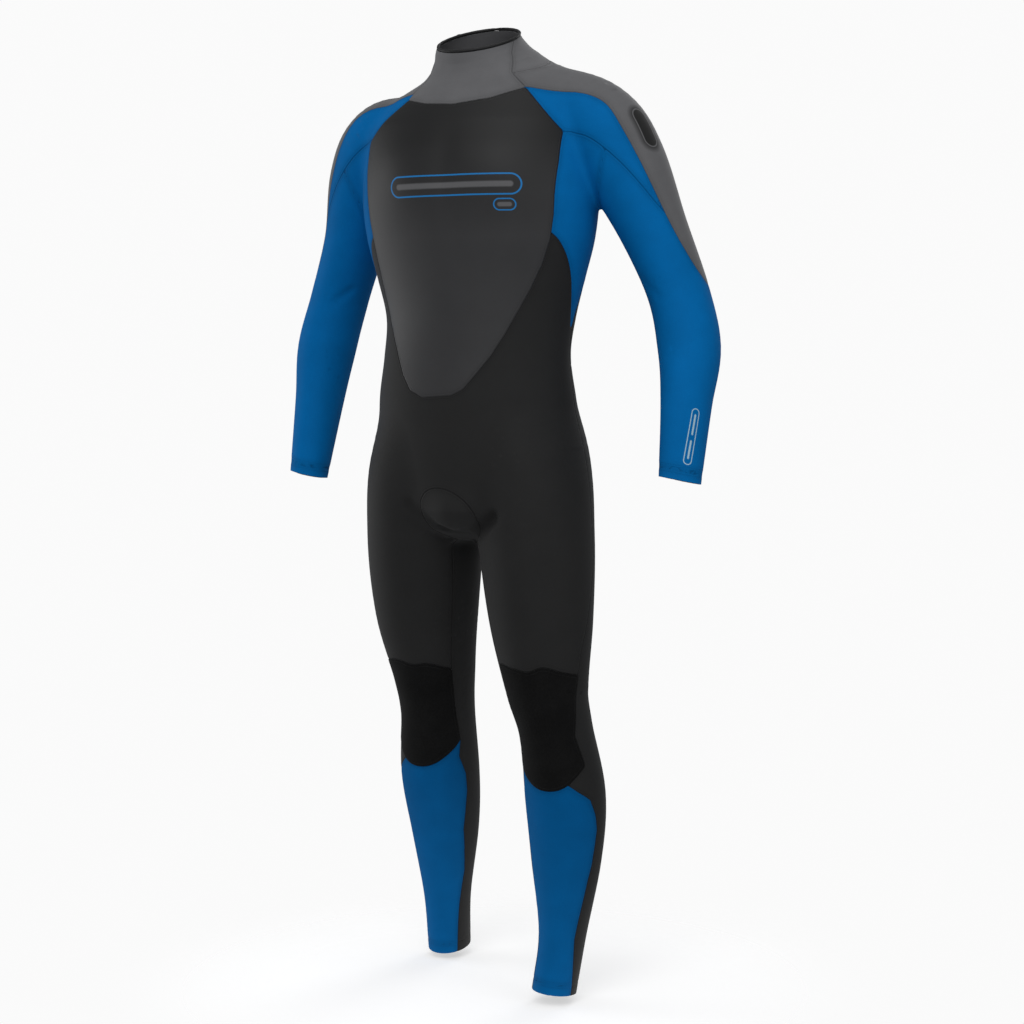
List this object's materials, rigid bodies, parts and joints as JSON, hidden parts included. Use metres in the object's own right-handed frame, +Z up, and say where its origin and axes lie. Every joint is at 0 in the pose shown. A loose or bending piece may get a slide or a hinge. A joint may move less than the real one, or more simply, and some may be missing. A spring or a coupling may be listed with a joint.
{
  "type": "full wetsuit",
  "caption": "Long-sleeved, long-legged neoprene wetsuit with a smooth chest panel, knee pads and a back zip, filled out as if worn.",
  "frame": {"origin": "between the shoulders on the suit's centre line, 1385 mm above the ankle hems, where a body or a hanger holds the suit up", "axes": "+Z up along the body, front of the suit towards -Y, the wearer's left towards +X"},
  "size_m": [0.708, 0.3218, 1.459],
  "materials": {
    "black_jersey": "matt knitted nylon over neoprene",
    "blue_jersey": "matt knitted nylon over neoprene",
    "grey_jersey": "matt knitted nylon over neoprene",
    "smooth_skin": "satin smooth-skin neoprene",
    "knee_fabric": "rough abrasion-proof knit",
    "trim_rubber": "matt binding and hook-and-loop",
    "zip_plastic": "moulded zip teeth",
    "zip_metal": "dark coated metal"
  },
  "bodies": {
    "torso": {"collar_front": "grey_jersey", "collar_back_l": "grey_jersey", "collar_back_r": "grey_jersey", "collar_binding": "trim_rubber", "collar_loop_patch": "trim_rubber", "chest_panel": "smooth_skin", "shoulder_yoke_l": "grey_jersey", "shoulder_yoke_r": "grey_jersey", "side_panel_l": "blue_jersey", "side_panel_r": "blue_jersey", "front_body": "black_jersey", "back_panel_l": "black_jersey", "back_panel_r": "black_jersey", "seat_panel": "black_jersey", "crotch_gusset": "black_jersey", "zip_tape_l": "black_jersey", "zip_tape_r": "black_jersey", "zip_teeth_l": "zip_plastic", "zip_teeth_r": "zip_plastic", "zip_bottom_stop": "zip_metal", "zip_backing_flap": "black_jersey"},
    "upper_arm_l": {"shoulder_cap_grey_l": "grey_jersey", "shoulder_cap_blue_l": "blue_jersey", "upper_sleeve_grey_l": "grey_jersey", "upper_sleeve_blue_l": "blue_jersey"},
    "forearm_l": {"elbow_sleeve_l": "blue_jersey", "forearm_sleeve_l": "blue_jersey", "wrist_cuff_l": "blue_jersey"},
    "thigh_l": {"hip_band_l": "black_jersey", "thigh_front_l": "black_jersey", "thigh_back_l": "black_jersey"},
    "lower_leg_l": {"knee_pad_l": "knee_fabric", "knee_back_l": "black_jersey", "shin_l": "blue_jersey", "calf_l": "black_jersey", "ankle_hem_l": "black_jersey"},
    "upper_arm_r": {"shoulder_cap_grey_r": "grey_jersey", "shoulder_cap_blue_r": "blue_jersey", "upper_sleeve_grey_r": "grey_jersey", "upper_sleeve_blue_r": "blue_jersey"},
    "forearm_r": {"elbow_sleeve_r": "blue_jersey", "forearm_sleeve_r": "blue_jersey", "wrist_cuff_r": "blue_jersey"},
    "thigh_r": {"hip_band_r": "black_jersey", "thigh_front_r": "black_jersey", "thigh_back_r": "black_jersey"},
    "lower_leg_r": {"knee_pad_r": "knee_fabric", "knee_back_r": "black_jersey", "shin_r": "blue_jersey", "calf_r": "black_jersey", "ankle_hem_r": "black_jersey"},
    "zip_slider": {"zip_slider": "zip_metal"},
    "zip_pull": {"zip_pull": "zip_metal"},
    "collar_tab": {"collar_tab": "black_jersey", "collar_hook_patch": "trim_rubber"}
  },
  "joints": [
    {"name": "shoulder_l", "type": "hinge", "parent": "torso", "child": "upper_arm_l", "pos_m": [0.165, 0.015, -0.1], "axis": [0, -1, 0], "range_deg": [0, 60], "stiffness_Nm_per_rad": 12, "deforming": ["shoulder_cap_grey_l", "shoulder_cap_blue_l"]},
    {"name": "elbow_l", "type": "hinge", "parent": "upper_arm_l", "child": "forearm_l", "pos_m": [0.305, 0.029, -0.349], "axis": [-0.7796, 0.5498, -0.2999], "range_deg": [0, 72], "stiffness_Nm_per_rad": 6, "deforming": ["elbow_sleeve_l"]},
    {"name": "shoulder_r", "type": "hinge", "parent": "torso", "child": "upper_arm_r", "pos_m": [-0.162, 0.018, -0.102], "axis": [0, 1, 0], "range_deg": [0, 60], "stiffness_Nm_per_rad": 12, "deforming": ["shoulder_cap_grey_r", "shoulder_cap_blue_r"]},
    {"name": "elbow_r", "type": "hinge", "parent": "upper_arm_r", "child": "forearm_r", "pos_m": [-0.276, 0.073, -0.35], "axis": [-0.7844, -0.5832, 0.2112], "range_deg": [0, 72], "stiffness_Nm_per_rad": 6, "deforming": ["elbow_sleeve_r"]},
    {"name": "hip_l", "type": "hinge", "parent": "torso", "child": "thigh_l", "pos_m": [0.09, 0, -0.59], "axis": [-1, 0, 0], "range_deg": [-10, 40], "stiffness_Nm_per_rad": 30, "deforming": ["hip_band_l"]},
    {"name": "knee_l", "type": "hinge", "parent": "thigh_l", "child": "lower_leg_l", "pos_m": [0.13, -0.018, -0.974], "axis": [1, 0, 0], "range_deg": [0, 80], "stiffness_Nm_per_rad": 15, "deforming": ["knee_pad_l", "knee_back_l"]},
    {"name": "hip_r", "type": "hinge", "parent": "torso", "child": "thigh_r", "pos_m": [-0.092, 0.008, -0.59], "axis": [-1, 0, 0], "range_deg": [-10, 40], "stiffness_Nm_per_rad": 30, "deforming": ["hip_band_r"]},
    {"name": "knee_r", "type": "hinge", "parent": "thigh_r", "child": "lower_leg_r", "pos_m": [-0.109, 0.073, -0.974], "axis": [1, 0, 0], "range_deg": [0, 80], "stiffness_Nm_per_rad": 15, "deforming": ["knee_pad_r", "knee_back_r"]},
    {"name": "zip_run", "type": "hinge", "parent": "torso", "child": "zip_slider", "pos_m": [0, -1.386, -0.205], "axis": [-1, 0, 0], "range_deg": [0, 14.1]},
    {"name": "zip_pull_swing", "type": "hinge", "parent": "zip_slider", "child": "zip_pull", "pos_m": [0, 0.1128, -0.0432], "axis": [1, 0, 0], "range_deg": [0, 150]},
    {"name": "collar_tab_peel", "type": "hinge", "parent": "torso", "child": "collar_tab", "pos_m": [0.028, 0.0775, 0.028], "axis": [0, 0.4659, -0.8848], "range_deg": [0, 100], "stiffness_Nm_per_rad": 0.05}
  ]
}
